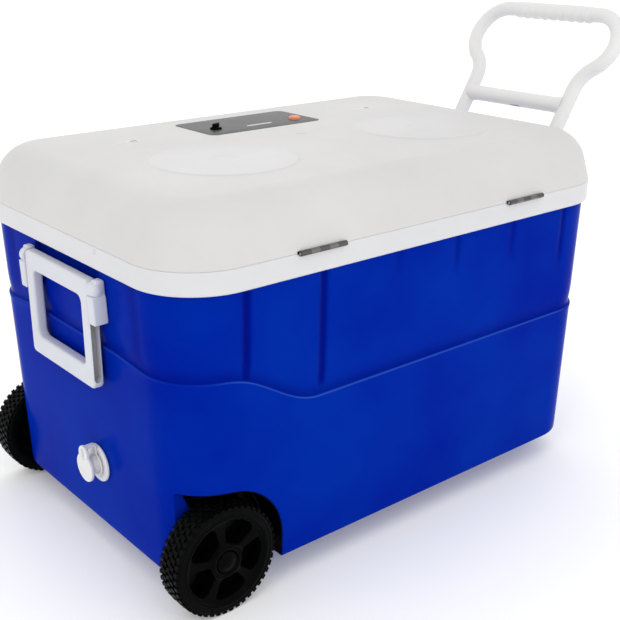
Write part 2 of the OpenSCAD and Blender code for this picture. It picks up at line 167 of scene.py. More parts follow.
def moulded(name, dark, light, rough=(0.3, 0.4), grain=900.0, grain_depth=0.00004, wave=14.0,
            wave_depth=0.0006, coat=0.0, sss=0.0, specular=0.5, shade_and_highlight_tones=(), ior=1.5):
    """Injection-moulded plastic: slight colour drift, fine mould grain and a faint large waviness. Its optional
    pair of tones is painted shade and a painted highlight, placed by two values the mesh carries."""
    look = Look(name)
    tone = look.ramp(look.noise(6.0, 3.0), (0.35, dark), (0.65, light))
    # painted shade first, then the painted highlight, mixed over the colour by the mesh's values
    for layer, target in zip(("painted_shade", "painted_highlight"), shade_and_highlight_tones):
        mark = look.node("ShaderNodeAttribute")
        mark.attribute_name = layer
        mix = look.node("ShaderNodeMixRGB", {"Color2": (*target, 1)}, mark.outputs["Fac"])
        look.link(tone, mix.inputs["Color1"])
        tone = mix.outputs["Color"]
    smear = look.noise(38.0, 6.0, 0.6)
    waves = look.bump(look.noise(wave, 2.0, 0.4), 0.25, wave_depth)
    fine = look.bump(look.noise(grain, 3.0, 0.6), 0.5, grain_depth, waves)
    values = {"Coat Weight": coat, "Coat Roughness": 0.12, "Specular IOR Level": specular, "IOR": ior}
    if sss:
        values |= {"Subsurface Weight": sss, "Subsurface Scale": 0.004}
    return look.finish(tone, fine, (smear, *rough), values)


def brushed(name, tone, rough=(0.22, 0.38)):
    """Steel drawn out into fine lines along X."""
    look = Look(name)
    mapping = look.node("ShaderNodeMapping", {"Scale": (4.0, 500.0, 500.0)}, look.place, "Vector")
    lines = look.noise(3.0, 6.0, place=mapping.outputs["Vector"])
    colour = look.ramp(lines, (0.3, tuple(c * 0.8 for c in tone)), (0.7, tone))
    return look.finish(colour, look.bump(lines, 0.3, 0.00004), (lines, *rough), {"Metallic": 1.0})


def speckled(name):
    """Charcoal plate with fine paler flecks."""
    look = Look(name)
    flecks = look.noise(1500.0, 2.0, 0.7)
    base = look.ramp(look.noise(45.0, 3.0), (0.3, (0.034, 0.036, 0.035)), (0.7, (0.052, 0.054, 0.053)))
    spots = look.ramp(flecks, (0.56, (0, 0, 0)), (0.68, (0.10, 0.105, 0.105)))
    mix = look.node("ShaderNodeMix")
    mix.data_type = "RGBA"
    mix.blend_type = "ADD"
    mix.inputs[0].default_value = 1.0
    look.link(base, mix.inputs[6])
    look.link(spots, mix.inputs[7])
    return look.finish(mix.outputs[2], look.bump(flecks, 0.3, 0.00005), (flecks, 0.35, 0.55))


def foam_look(name):
    look = Look(name)
    cells = look.node("ShaderNodeTexVoronoi", {"Scale": 420.0}, look.place, "Vector").outputs["Distance"]
    colour = look.ramp(cells, (0.0, (0.80, 0.75, 0.52)), (0.6, (0.88, 0.84, 0.64)))
    return look.finish(colour, look.bump(cells, 0.6, 0.0003), values={"Roughness": 0.85})


def rubbery(name, tone, rough=(0.5, 0.65), specular=0.5):
    look = Look(name)
    dust = look.noise(60.0, 6.0, 0.65)
    lighter = tuple(min(c * 1.5 + 0.0012, 1) for c in tone)
    colour = look.ramp(dust, (0.45, tone), (0.75, lighter))
    fine = look.bump(look.noise(1100.0, 3.0, 0.6), 0.5, 0.00006)
    return look.finish(colour, fine, (dust, *rough), {"Specular IOR Level": specular})


# the blue's two extra tones are painted shade for the grooves and above the step, and a painted highlight along
# the step's edge
BLUE = moulded("blue_gloss_plastic", (0.0, 0.012, 0.288), (0.0, 0.022, 0.328), rough=(0.14, 0.20),
               grain=1300.0, grain_depth=0.000008, wave=7.0, wave_depth=0.0012, specular=0.05, ior=1.15,
               shade_and_highlight_tones=((0.0, 0.002, 0.165), (0.03, 0.10, 0.48)))
CREAM = moulded("lid_plastic", (0.573, 0.566, 0.557), (0.604, 0.596, 0.588), rough=(0.40, 0.52), grain=750.0,
                grain_depth=0.00003, wave=9.0, wave_depth=0.0004, sss=0.08)
COLLAR = moulded("collar_plastic", (0.60, 0.60, 0.615), (0.635, 0.635, 0.65), rough=(0.34, 0.45), grain=750.0,
                 grain_depth=0.00003, wave=9.0, wave_depth=0.0003, sss=0.08)
SATIN = {"rough": (0.30, 0.42), "grain": 850.0, "grain_depth": 0.00003, "wave": 20.0, "wave_depth": 0.0002,
         "sss": 0.08}
WHITE = moulded("white_plastic", (0.67, 0.67, 0.665), (0.71, 0.71, 0.705), **SATIN)
COOL = moulded("cool_white_plastic", (0.56, 0.572, 0.625), (0.605, 0.617, 0.668), **SATIN)
DISC = moulded("roundel_plastic", (0.548, 0.548, 0.548), (0.582, 0.582, 0.582), rough=(0.30, 0.40),
               grain=600.0, grain_depth=0.00001, wave=24.0, wave_depth=0.0003)
TANK = moulded("tank_plastic", (0.76, 0.76, 0.75), (0.81, 0.81, 0.80), rough=(0.22, 0.34), grain=900.0,
               grain_depth=0.00003, wave=10.0, wave_depth=0.0006, sss=0.05)
BLACK = moulded("black_plastic", (0.0009, 0.001, 0.0009), (0.0018, 0.002, 0.0018), rough=(0.13, 0.2),
                grain=800.0, grain_depth=0.00001, wave=40.0, wave_depth=0.0003, specular=0.08, ior=1.25)
# grey laid into recesses of white parts as painted shade
SHADE = moulded("grey_painted_recess_shade", (0.27, 0.27, 0.26), (0.33, 0.33, 0.32), rough=(0.45, 0.6),
                grain=800.0, grain_depth=0.00005, wave=30.0, wave_depth=0.0002)
# near-black plate standing in for the shade inside a slot
SHADE_DARK = moulded("dark_painted_slot_shade", (0.03, 0.03, 0.03), (0.045, 0.045, 0.045), rough=(0.4, 0.5),
                     grain=800.0, grain_depth=0.00004, wave=60.0, wave_depth=0.0002)
ORANGE = moulded("orange_plastic", (0.70, 0.17, 0.055), (0.80, 0.22, 0.08), rough=(0.25, 0.4), grain=900.0,
                 grain_depth=0.00004, wave=60.0, wave_depth=0.0002, coat=0.2)
TYRE = rubbery("tyre_rubber", (0.0012, 0.0014, 0.0013), rough=(0.25, 0.38), specular=0.03)
SEAL = rubbery("seal_rubber", (0.11, 0.11, 0.115))
STEEL = brushed("brushed_steel", (0.62, 0.63, 0.65))
DARK_STEEL = brushed("hinge_steel", (0.115, 0.11, 0.105), rough=(0.16, 0.3))
MID_STEEL = brushed("hinge_barrel_steel", (0.19, 0.185, 0.18), rough=(0.16, 0.3))
PANEL = speckled("speckled_charcoal")
FOAM = foam_look("pour_foam")

# ---------- mesh tools ----------


def make(name, verts, faces):
    """A closed mesh object in tub millimetres, its faces turned outwards."""
    mesh = bpy.data.meshes.new(name)
    mesh.from_pydata([tuple(v) for v in verts], [], faces)
    bm = bmesh.new()
    bm.from_mesh(mesh)
    bmesh.ops.remove_doubles(bm, verts=bm.verts, dist=1e-4)
    bmesh.ops.dissolve_degenerate(bm, edges=bm.edges, dist=1e-5)
    bmesh.ops.recalc_face_normals(bm, faces=bm.faces)
    bm.to_mesh(mesh)
    bm.free()
    obj = bpy.data.objects.new(name, mesh)
    bpy.context.scene.collection.objects.link(obj)
    return obj


def loft(name, rings, ring=False):
    """Rings of equal length joined in order. ring=True joins the last to the first; otherwise both ends
    are capped."""
    n = len(rings[0])
    verts = [p for r in rings for p in r]
    faces = []
    count = len(rings)
    for j in range(count if ring else count - 1):
        a, b = j * n, ((j + 1) % count) * n
        for i in range(n):
            k = (i + 1) % n
            faces.append((a + i, a + k, b + k, b + i))
    if not ring:
        faces.append(tuple(range(n)))
        faces.append(tuple(range((count - 1) * n, count * n)))
    return make(name, verts, faces)


def apply_modifiers(obj):
    bpy.context.view_layer.update()
    graph = bpy.context.evaluated_depsgraph_get()
    mesh = bpy.data.meshes.new_from_object(obj.evaluated_get(graph))
    obj.modifiers.clear()
    old = obj.data
    obj.data = mesh
    bpy.data.meshes.remove(old)
    return obj


def combine(obj, others, operation="DIFFERENCE"):
    """Exact boolean with each of the others, which are used up."""
    for other in others:
        mod = obj.modifiers.new("cut", "BOOLEAN")
        mod.operation = operation
        mod.object = other
        mod.solver = "EXACT"
    apply_modifiers(obj)
    for other in others:
        mesh = other.data
        bpy.data.objects.remove(other)
        bpy.data.meshes.remove(mesh)
    return obj


def soft_edges(obj, width, segments):
    """Rounds every edge sharper than 32 degrees."""
    mod = obj.modifiers.new("edge", "BEVEL")
    mod.width = width
    mod.segments = segments
    mod.limit_method = "ANGLE"
    mod.angle_limit = math.radians(32.0)
    mod.use_clamp_overlap = True
    mod.miter_outer = "MITER_ARC"
    return apply_modifiers(obj)


def finish_piece(obj, body, mat, nodes=(), sharp=38.0):
    """Into the row frame, smooth shaded, riding on its body."""
    obj.data.transform(TO_ROW)
    for face in obj.data.polygons:
        face.use_smooth = True
    obj.data.set_sharp_from_angle(angle=math.radians(sharp))
    obj.data.materials.clear()
    obj.data.materials.append(mat)
    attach(obj, body)
    if nodes:
        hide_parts(*nodes)
    return obj


def softened(node, width, mat, body, segments=3):
    """A copy of a CAD node with its real edges rounded over."""
    source = frame["nodes"][node]
    bm = bmesh.new()
    bm.from_mesh(source.data)
    bmesh.ops.transform(bm, matrix=TO_TUB, verts=bm.verts)
    bmesh.ops.remove_doubles(bm, verts=bm.verts, dist=0.002)
    bmesh.ops.dissolve_limit(bm, angle_limit=math.radians(0.6), verts=bm.verts, edges=bm.edges)
    mesh = bpy.data.meshes.new(node + "_rounded")
    bm.to_mesh(mesh)
    bm.free()
    obj = bpy.data.objects.new(node + "_rounded", mesh)
    bpy.context.scene.collection.objects.link(obj)
    soft_edges(obj, width, segments)
    return finish_piece(obj, body, mat, [node])


def spread(start, stop, step):
    count = max(int(math.ceil(abs(stop - start) / step)), 1)
    return [start + (stop - start) * i / count for i in range(count + 1)]


def outline(hl, hw, r, xs=(), ys=(), corner_n=14):
    """Rounded rectangle, counter-clockwise from the middle of the +X side. xs and ys are inner points of the
    straight runs, as shares of their half length from -1 to 1. Each point is (x, y, normal x, normal y)."""
    cx, cy = hl - r, hw - r
    pts = []

    def corner(sx, sy, start):
        for i in range(corner_n + 1):
            t = start + math.pi / 2 * i / corner_n
            pts.append((sx * cx + r * math.cos(t), sy * cy + r * math.sin(t), math.cos(t), math.sin(t)))

    for t in ys:
        pts.append((hl, t * cy, 1, 0))
    corner(1, 1, 0)
    for t in xs:
        pts.append((-t * cx, hw, 0, 1))
    corner(-1, 1, math.pi / 2)
    for t in ys:
        pts.append((-hl, -t * cy, -1, 0))
    corner(-1, -1, math.pi)
    for t in xs:
        pts.append((t * cx, -hw, 0, -1))
    corner(1, -1, 1.5 * math.pi)
    return pts


def inset_ring(hl, hw, r, inset, z, corner_n):
    """Rounded rectangle at height z, drawn in by inset along its own normals."""
    return [(px - nx * inset, py - ny * inset, z) for px, py, nx, ny in outline(hl, hw, r, corner_n=corner_n)]


def plate(name, hl, hw, r, profile, x=0.0, y=0.0, corner_n=10):
    """Rounded plate: profile is a list of (height, inset) from bottom to top."""
    return loft(name, [[(x + px, y + py, z) for px, py, _, _ in
                        outline(hl - inset, hw - inset, max(r - inset, 0.05), corner_n=corner_n)]
                       for z, inset in profile])


def arc(r, z, inset, a0, a1, n):
    """Quarter-round steps of a profile about (z, inset)."""
    return [(z + r * math.sin(math.radians(a0 + (a1 - a0) * i / n)),
             inset + r * (1 - math.cos(math.radians(a0 + (a1 - a0) * i / n)))) for i in range(n + 1)]


def lathe(name, profile, n=64, place=Matrix.Identity(4), closed=False):
    """profile is a list of (radius, height) about local Z. Open profiles start and end on the axis."""
    rings = []
    for r, z in profile:
        rings.append([place @ Vector((max(r, 0.01) * math.cos(2 * math.pi * i / n),
                                      max(r, 0.01) * math.sin(2 * math.pi * i / n), z)) for i in range(n)])
    return loft(name, rings, ring=closed)


def rod(radius, low, high, place, n=32):
    """Round bar along local Z, to cut or join with."""
    return lathe("rod", [(0, low), (radius, low), (radius, high), (0, high)], n, place)


def tube(name, pts, radius, n, normal):
    """Round tube along a path in the plane across normal. radius is a number, or a function of the point's
    number and the angle round the tube."""
    rings = []
    for i, p in enumerate(pts):
        t = (pts[min(i + 1, len(pts) - 1)] - pts[max(i - 1, 0)]).normalized()
        side = t.cross(normal).normalized()
        ring = []
        for k in range(n):
            a = 2 * math.pi * k / n
            rad = radius(i, a) if callable(radius) else radius
            ring.append(p + rad * (math.cos(a) * side + math.sin(a) * normal))
        rings.append(ring)
    return loft(name, rings)


# ---------- tub ----------


SWEEP = (-302.0, -166.0)  # where the step's long S starts and ends
SAG = 5.5  # how much lower the step is at the wheel end's corners than in its middle


def ledge(x, y):
    """Height of the step round the tub: high at the wheel end, low along the sides, with a long S between."""
    high = LEDGE_HI - SAG * smooth((abs(y) - 90) / 90)
    along = min(max((x - SWEEP[0]) / (SWEEP[1] - SWEEP[0]), 0.0), 1.0)
    return LEDGE_LO + (high - LEDGE_LO) * (1 + math.cos(math.pi * along)) / 2


def smooth(t):
    t = min(max(t, 0.0), 1.0)
    return t * t * (3 - 2 * t)


# place along the wall, depth, and how far down from the collar each one runs
GROOVES = [(-271.0, 2.3, 160), (-162.5, 2.3, 160), (-44.0, 0.6, 45), (57.0, 1.1, 60), (162.0, 1.1, 60),
           (268.0, 1.5, 90)]
END_GROOVES = [(-156.0, 1.6, 120), (156.0, 1.6, 120)]
STEP_IN = 1.2  # how far the upper wall stands behind the lower one
# the step's section: height above its edge, and how far it stands in
LIP = [(-9, 0), (-6, -0.25), (-3.6, -0.6), (-1.9, -0.75), (-0.9, -0.5), (-0.3, 0.0), (0, 0.5), (0.4, 1.2),
       (1.1, 1.9), (2.2, 2.45), (3.8, 2.7), (5.6, 2.7), (8, 2.5)]
FADE = [(11, 2.2), (14, 1.9), (18, 1.6), (23, 1.35)]


def groove(along, z, places, width=9.0):
    for at, depth, length in places:
        d = abs(along - at)
        if d < width:
            return depth * 0.5 * (1 + math.cos(math.pi * d / width)) * smooth((z - TUB_H + length) / 30)
    return 0.0


def tub_solid():
    cx = HALF_L - CORNER
    xs = sorted({round(v, 3) for v in spread(-cx, cx, 12)[1:-1] + spread(-272, -168, 5)
                 + [g[0] + d for g in GROOVES for d in (-9, -7, -5, -3.4, -1.7, 0, 1.7, 3.4, 5, 7, 9)
                    if abs(g[0] + d) < cx - 1]})
    xs = [x for i, x in enumerate(xs) if i == 0 or x - xs[i - 1] > 0.8]
    cy = HALF_W - CORNER
    base = outline(HALF_L, HALF_W, CORNER, [x / cx for x in xs],
                   [y / cy for y in spread(-cy, cy, 14)[1:-1]], 22)

    def ring(height, inset):
        out = []
        for bx, by, nx, ny in base:
            z = height(bx, by)
            rel = z - ledge(bx, by)
            cut = 0.0
            if rel > 8 and abs(ny) > 0.7:
                cut = groove(bx, z, GROOVES) * smooth((rel - 8) / 14)
            elif rel > 8 and nx < -0.7:
                cut = groove(by, z, END_GROOVES) * smooth((rel - 8) / 14)
            back = DRAFT * (TUB_H - z) + inset + cut
            out.append((bx - nx * back, by - ny * back, z))
        return out

    rings = []
    e = 3.5
    for i in range(6):
        t = math.pi / 2 * i / 5
        rings.append(ring(lambda x, y, t=t: e * (1 - math.cos(t)), e * (1 - math.sin(t))))
    for f in spread(0, 1, 0.09)[1:]:
        rings.append(ring(lambda x, y, f=f: e + f * (ledge(x, y) - 12 - e), 0.0))
    for dz, inset in LIP + FADE:
        rings.append(ring(lambda x, y, dz=dz: ledge(x, y) + dz, inset))
    for f in spread(0, 1, 0.12):
        rings.append(ring(lambda x, y, f=f: ledge(x, y) + 28 + f * (TUB_H - ledge(x, y) - 28), STEP_IN))
    return loft("tub_shell", rings)


def well_cutter(name, side, grow=0.0, flare=1.5):
    """Wheel arch: a half-round top on straight sides, its mouth flared where it meets the leaning wall."""
    def section(r, y):
        left = -400.0
        pts = [(left, -10.0), (left, AXLE.z + r)]
        pts += [(AXLE.x + r * math.sin(math.radians(a)), AXLE.z + r * math.cos(math.radians(a)))
                for a in range(0, 91, 5)]
        pts += [(AXLE.x + r, -10.0)]
        lean = DRAFT if y > WELL_IN + 20 else 0.0
        return [(x, side * (y - lean * (AXLE.z + WELL_R - z)), z) for x, z in pts]

    r = WELL_R + grow
    mouth = half_w(AXLE.z + WELL_R)
    inner = WELL_IN - grow
    rings = []
    fillet = 5.0 if grow == 0 else 0.0
    for i in range(5 if fillet else 1):
        t = math.pi / 2 * i / 4
        rings.append(section(r - fillet * (1 - math.sin(t)), inner + fillet * (1 - math.cos(t))))
    for i in range(6 if flare else 1):
        t = math.pi / 2 * i / 5
        rings.append(section(r + flare * (1 - math.cos(t)), mouth - flare + flare * math.sin(t)))
    rings.append(section(r + flare, mouth + 60))
    return loft(name, rings)


def box_mesh(name, x0, x1, y0, y1, z0, z1):
    v = [(x, y, z) for x in (x0, x1) for y in (y0, y1) for z in (z0, z1)]
    return make(name, v, [(0, 1, 3, 2), (4, 6, 7, 5), (0, 4, 5, 1), (2, 3, 7, 6), (0, 2, 6, 4), (1, 5, 7, 3)])


# local x along the wheel end's wall, y up it and z out of it, from the middle of its foot
END_WALL = move(-half_l(0), 0, 0) @ turn(-90, "Z") @ Matrix.Rotation(math.radians(90) + LEAN, 4, "X")
DRAIN = END_WALL @ move(34, 92, 0)
DRAIN_BORE = 12.2
body = tub_solid()
wells = [well_cutter("well", s) for s in (-1, 1)]
channel = box_mesh("channel", AXLE.x - 8, AXLE.x + 8, -WELL_IN - 5, WELL_IN + 5, -10, 40)
pocket = box_mesh("pocket", -400, -351, -80.5, 80.5, 322, 357)
SKIN = 3.5  # the shell's own thickness, round the void inside it
void = loft("void", [inset_ring(HALF_L, HALF_W, CORNER, DRAFT * (TUB_H - z) + 6.2, z, 12)
                     for z in (SKIN, TUB_H + 5)])
combine(void, [well_cutter("well", s, SKIN, 0) for s in (-1, 1)]
        + [box_mesh("channel", AXLE.x - 8 - SKIN, AXLE.x + 8 + SKIN, -WELL_IN - 8, WELL_IN + 8, -10, 40 + SKIN),
           box_mesh("pocket", -400, -351 + SKIN, -80.5 - SKIN, 80.5 + SKIN, 322 - SKIN, 357 + SKIN)])
combine(body, wells + [channel, pocket, rod(DRAIN_BORE, -20, 20, DRAIN, 48), void])
finish_piece(body, "tub", BLUE, ["outer_shell"], 40)


def paint_shade_and_highlight(obj):
    """Painted shade in the grooves and above the step, and a painted highlight along the step's edge, as shares
    from 0 to 1.
    """
    painted_shade = obj.data.attributes.new("painted_shade", "FLOAT", "POINT")
    painted_highlight = obj.data.attributes.new("painted_highlight", "FLOAT", "POINT")
    for i, vertex in enumerate(obj.data.vertices):
        p = TO_TUB @ vertex.co
        rel = p.z - ledge(p.x, p.y)
        corner = math.hypot(abs(p.x) - HALF_L + 22, abs(p.y) - HALF_W + 22)
        # the painted highlight is made weaker round the corners and near the ends
        highlight_strength = (0.16 + 0.84 * smooth((corner - 18) / 60)) * (0.5 if abs(p.x) > HALF_L - 30 else 1.0)
        painted_highlight.data[i].value = smooth((rel + 2.0) / 1.1) * (1 - smooth((rel + 0.2) / 0.7)) * 0.62 * highlight_strength
        # painted shade: a dark band fading upwards above the step, and darker in the grooves
        shade = (1 - smooth(rel / 21)) * 0.5 if rel > 0.3 else 0.0
        if rel > 2:
            cut = 0.0
            if abs(p.y) > half_w(p.z) - 14 and abs(p.x) < HALF_L - CORNER + 6:
                cut = groove(p.x, p.z, GROOVES, 10.0)
            elif p.x < 0:
                cut = groove(p.y, p.z, END_GROOVES, 10.0)
            shade = max(shade, min(cut / 2.1, 0.8))
        painted_shade.data[i].value = shade


paint_shade_and_highlight(body)


def side_at(x, z):
    """Half width of the tub at x and height z, round its corners too."""
    past = max(abs(x) - (HALF_L - CORNER), 0.0)
    radius = CORNER - DRAFT * (TUB_H - z)
    return HALF_W - CORNER + math.sqrt(max(radius ** 2 - past ** 2, 0.0))


def arch_arc(r, hub_x=0.0, hub_z=0.0):
    """Arch outline of radius r about the axle, or about a point off it, down to the tub's foot."""
    x, z = AXLE.x + hub_x, AXLE.z + hub_z
    turns = [math.radians(a) for a in range(-20, 91, 5)]
    return [(x + r * math.sin(t), z + r * math.cos(t)) for t in turns] + [(x + r, 3.0)]


def arch_shade_sheet(s, tag):
    """Thin black sheets in the wheel arch, painted shade where the arch is in shadow: the wall behind the
    wheel, then its round top and straight side.
    """
    gap, thick = 0.15, 1.3
    face = arch_arc(WELL_R - 5.2) + arch_arc(8, 0.0, 11)[::-1]
    wall = loft("arch_shade_wall_" + tag, [[(x, s * (WELL_IN + gap + t), z) for x, z in face]
                                     for t in (0.0, thick)])
    finish_piece(wall, "tub", BLACK, (), 40)
    rings = []
    for out, back in ((0.3, 5.3), (1.9, 1.5), (5.4, gap), (half_w(60) - 1.2 - WELL_IN, gap)):
        shape = arch_arc(WELL_R - back) + arch_arc(WELL_R - back - thick)[::-1]
        rings.append([(x, s * min(WELL_IN + out, side_at(x, z) - 1.2), z) for x, z in shape])
    finish_piece(loft("arch_shade_roof_" + tag, rings), "tub", BLACK, (), 40)


# black sheets standing in for the shade inside both wheel arches
arch_shade_sheet(-1, "near")
arch_shade_sheet(1, "far")

# ---------- tank liner ----------


def tank_block(name, inset, floor, top, fillet):
    return loft(name, [inset_ring(HALF_L, HALF_W, CORNER, DRAFT * (TUB_H - z) + inset + extra, z, 14)
                       for z, extra in arc(fillet, floor + fillet, 0, -90, 0, 5) + [(top, 0)]])


def tank_steps(g):
    """The rises in the tank's floor over the wheel wells, g smaller all round."""
    out = []
    for s in (-1, 1):
        y0, y1 = sorted((s * (166 + g), s * 420))
        out.append(soft_edges(box_mesh("step", -420, -190 - g, y0, y1, -5, 148 - g), 6, 4))
    return out


TANK_WALL = 2.0
tank_out = tank_block("tank_liner", WALL - TANK_WALL, FLOOR - TANK_WALL, TUB_H - 0.3, 12)
combine(tank_out, tank_steps(TANK_WALL))
tank_in = combine(tank_block("tank_in", WALL, FLOOR, TUB_H + 5, 12), tank_steps(0))
combine(tank_out, [tank_in, rod(DRAIN_BORE, -60, -20, DRAIN, 48)])
finish_piece(tank_out, "tub", TANK, ["liner"])

# ---------- collar ----------


def collar_ring():
    lip, top = 2.4, 0.6
    quarter = [math.pi / 2 * i / 3 for i in range(4)]
    prof = [(TUB_H, OVER + 4), (TUB_H, OVER - 0.4)]
    prof += [(TUB_H + lip - lip * math.cos(t), lip - lip * math.sin(t)) for t in spread(0, math.pi / 2, 0.4)]
    prof += [(z, 0) for z in spread(TUB_H + lip + 1, COLLAR_Z - top, 3)]
    prof += [(COLLAR_Z - top + top * math.sin(t), top - top * math.cos(t)) for t in quarter[1:]]
    prof += [(COLLAR_Z, 14), (COLLAR_Z, OVER + 26)]
    prof += [(COLLAR_Z - 3 + 3 * math.cos(t), OVER + 27 + 3 * math.sin(t)) for t in quarter]
    prof += [(TUB_H + 2, OVER + 30), (TUB_H, OVER + 29), (TUB_H, OVER + 22), (COLLAR_Z - 6, OVER + 22),
             (COLLAR_Z - 6, OVER + 4)]
    cx, cy = RIM_L - CORNER - OVER, RIM_W - CORNER - OVER
    base = outline(RIM_L, RIM_W, CORNER + OVER, [x / cx for x in spread(-cx, cx, 12)[1:-1]],
                   [y / cy for y in spread(-cy, cy, 40)[1:-1]], 22)
    rings = []
    for z, inset in prof:
        row = []
        for px, py, nx, ny in base:
            scoop = 0.0
            if ny > 0.7 and inset < 6 and z > TUB_H + 6:
                along = smooth((66 - abs(px)) / 16)
                depth = smooth((z - COLLAR_Z + 16) / 12)
                scoop = 7.0 * along * depth
            row.append((px - nx * (inset + scoop), py - ny * (inset + scoop), z))
        rings.append(row)
    return loft("collar_ring", rings, ring=True)


_, HINGE_Y, HINGE_Z = local(joints["lid_hinge"]["pos_m"])
HINGE_X = [-172.0, 172.0]


def hinge_room():
    """What both hinges need cut away: their barrels, and slots for their leaves."""
    out = []
    for x in HINGE_X:
        out.append(rod(3.9, -35, 35, move(x, HINGE_Y, HINGE_Z) @ turn(90, "Y")))
        out.append(box_mesh("leaves", x - 34.2, x + 34.2, HINGE_Y - 0.3, -233, COLLAR_Z - 1.3, LID_Z + 1.3))
    return out


ring = combine(collar_ring(), hinge_room())
finish_piece(ring, "tub", COLLAR, ["collar"], 40)
pip = lathe("moulding_pip", [(0, -1), (2.6, -1), (2.6, 0.6), (1.9, 1.6), (0.9, 2.1), (0, 2.2)], 24,
            move(-RIM_L, -86, COLLAR_Z - 6) @ turn(-90, "Y"))
finish_piece(pip, "tub", COLLAR)

# ---------- lid ----------

PANEL_AT = (-0.5, 119.0)
KNOB_AT = tuple(local(joints["selector_turn"]["pos_m"]))[:2]
button_lo, button_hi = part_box("push_button")
BUTTON_AT = tuple(local((button_lo + button_hi) / 2))[:2]
ON_KNOB, ON_BUTTON = move(*KNOB_AT, LID_TOP), move(*BUTTON_AT, LID_TOP)
PLUGS, PLUG_Y = [-207.0, 207.0], 105.0
SHOULDER = 50.0
LID_LEAN = math.radians(16)


def lid_solid(name, inset, z0, top, shoulder, edge=0.0):
    """Leaning walls that run into a wide round shoulder and a nearly flat top."""
    rise = top - LID_Z - shoulder * (1 - math.sin(LID_LEAN))
    foot = rise * math.tan(LID_LEAN)
    slope = math.tan(LID_LEAN)
    prof = [(z0, (z0 - LID_Z) * slope)]
    if edge:
        prof = [(z0, edge), (z0 + edge * 0.4, edge * 0.3), (z0 + edge, 0)]
    prof += [(z, (z - LID_Z) * slope) for z in spread(LID_Z + 1.5, LID_Z + rise, 7)]
    steps = 16
    for i in range(1, steps + 1):
        t = LID_LEAN + (math.pi / 2 - LID_LEAN) * i / steps
        prof.append((LID_Z + rise + shoulder * (math.sin(t) - math.sin(LID_LEAN)),
                     foot + shoulder * (math.cos(LID_LEAN) - math.cos(t))))
    return loft(name, [inset_ring(RIM_L - inset, RIM_W - inset, CORNER + OVER - inset, ins, z, 22)
                       for z, ins in prof])


lid = lid_solid("lid_top", 0, COLLAR_Z + 0.15, LID_TOP, SHOULDER, 0.5)
inner = lid_solid("lid_in", 3, LID_Z - 3, LID_TOP - 3, SHOULDER - 3)
cuts = [inner, plate("recess", 96.2, 50.7, 11.2, [(LID_TOP - 2.2, 0), (LID_TOP + 5, 0)], *PANEL_AT)]
cuts += [rod(3.4, -8, 5, ON_KNOB), rod(8.9, -8, 5, ON_BUTTON)]
cuts += [plate("slot", 17, 4.5, 4.4, [(LID_TOP - 5, 0), (LID_TOP + 5, 0)], x, PLUG_Y) for x in PLUGS]
combine(lid, cuts + hinge_room())
finish_piece(lid, "lid", CREAM, ["lid_shell"], 40)

nub = lathe("lid_nub", [(0, -1.5), (7, -1.5), (7, 0), (6.4, 0.5), (5, 0.8), (0, 0.9)], 40,
            move(8, 10, LID_TOP))
finish_piece(nub, "lid", CREAM)


def roundel(name, x, node):
    """Disc with a raised rim and a small dished middle."""
    r = 92.0
    prof = [(0, -0.8), (r, -0.8), (r, 0.05), (r - 0.8, 0.45), (r - 2.2, 0.95), (r - 4.0, 1.3),
            (r - 5.8, 1.25), (r - 7.5, 0.95), (r - 9.5, 0.7), (r - 14, 0.62), (60, 0.68), (40, 0.78), (22, 0.9),
            (19, 0.88), (17.4, 0.55), (16, 0.3), (12, 0.28), (8, 0.42), (4, 0.5), (0, 0.52)]
    finish_piece(lathe(name, prof, 128, move(x, -61, LID_TOP)), "lid", DISC, [node], 60)


ROUNDEL_X = 168.5
roundel("roundel_left", -ROUNDEL_X, "roundel_l")
roundel("roundel_right", ROUNDEL_X, "roundel_r")


def lid_underside():
    rim_in, plug_in = 4.0, OVER + 34.1
    prof = [(LID_Z + 3, rim_in), (LID_Z, rim_in), (LID_Z, plug_in - 0.6), (LID_Z - 1, plug_in)]
    for i in range(4):
        t = math.pi / 2 * i / 3
        prof.append((LID_Z - 17 - 3 * math.sin(t), plug_in + 3 * (1 - math.cos(t))))
    return loft("lid_underside", [inset_ring(RIM_L, RIM_W, CORNER + OVER, ins, z, 18) for z, ins in prof])


under = lid_underside()
seal_cut = plate("seal_cut", HALF_L - WALL + 15, HALF_W - WALL + 15, 65, [(LID_Z - 1, 0), (LID_Z + 1.5, 0)])
seal_keep = plate("seal_keep", HALF_L - WALL + 9, HALF_W - WALL + 9, 59, [(LID_Z - 2, 0), (LID_Z + 2, 0)])
combine(seal_cut, [seal_keep])
pan = plate("pan", HALF_L - WALL - 70, HALF_W - WALL - 70, 30, [(LID_Z - 22, 0), (LID_Z - 18.8, 3)])
combine(under, [seal_cut, pan] + hinge_room())
finish_piece(under, "lid", TANK, ["lid_liner"], 40)

# ---------- wheels ----------


def wheel_frame(side):
    """Local z runs outwards along the axle, from the wheel's inner face."""
    m = move(AXLE.x, 0, AXLE.z) @ turn(-90, "X") @ move(0, 0, WHEEL_IN)
    return m if side > 0 else Matrix.Scale(-1, 4, (0, 1, 0)) @ m


WIDTH = WHEEL_FACE - WHEEL_IN


def tread_ring():
    base = WHEEL_R - 2.1
    return [(58, 0), (63, 0), (65.2, 0.5), (67, 1.8), (base, 4), (base + 0.15, 7), (base + 0.2, WIDTH / 2),
            (base + 0.15, WIDTH - 7), (base, WIDTH - 4), (67, WIDTH - 1.8), (65.2, WIDTH - 0.6),
            (64.3, WIDTH - 0.15), (63.6, WIDTH), (62.9, WIDTH - 0.6), (61.6, WIDTH - 0.8), (60.6, WIDTH - 0.4),
            (58, WIDTH - 0.4)]


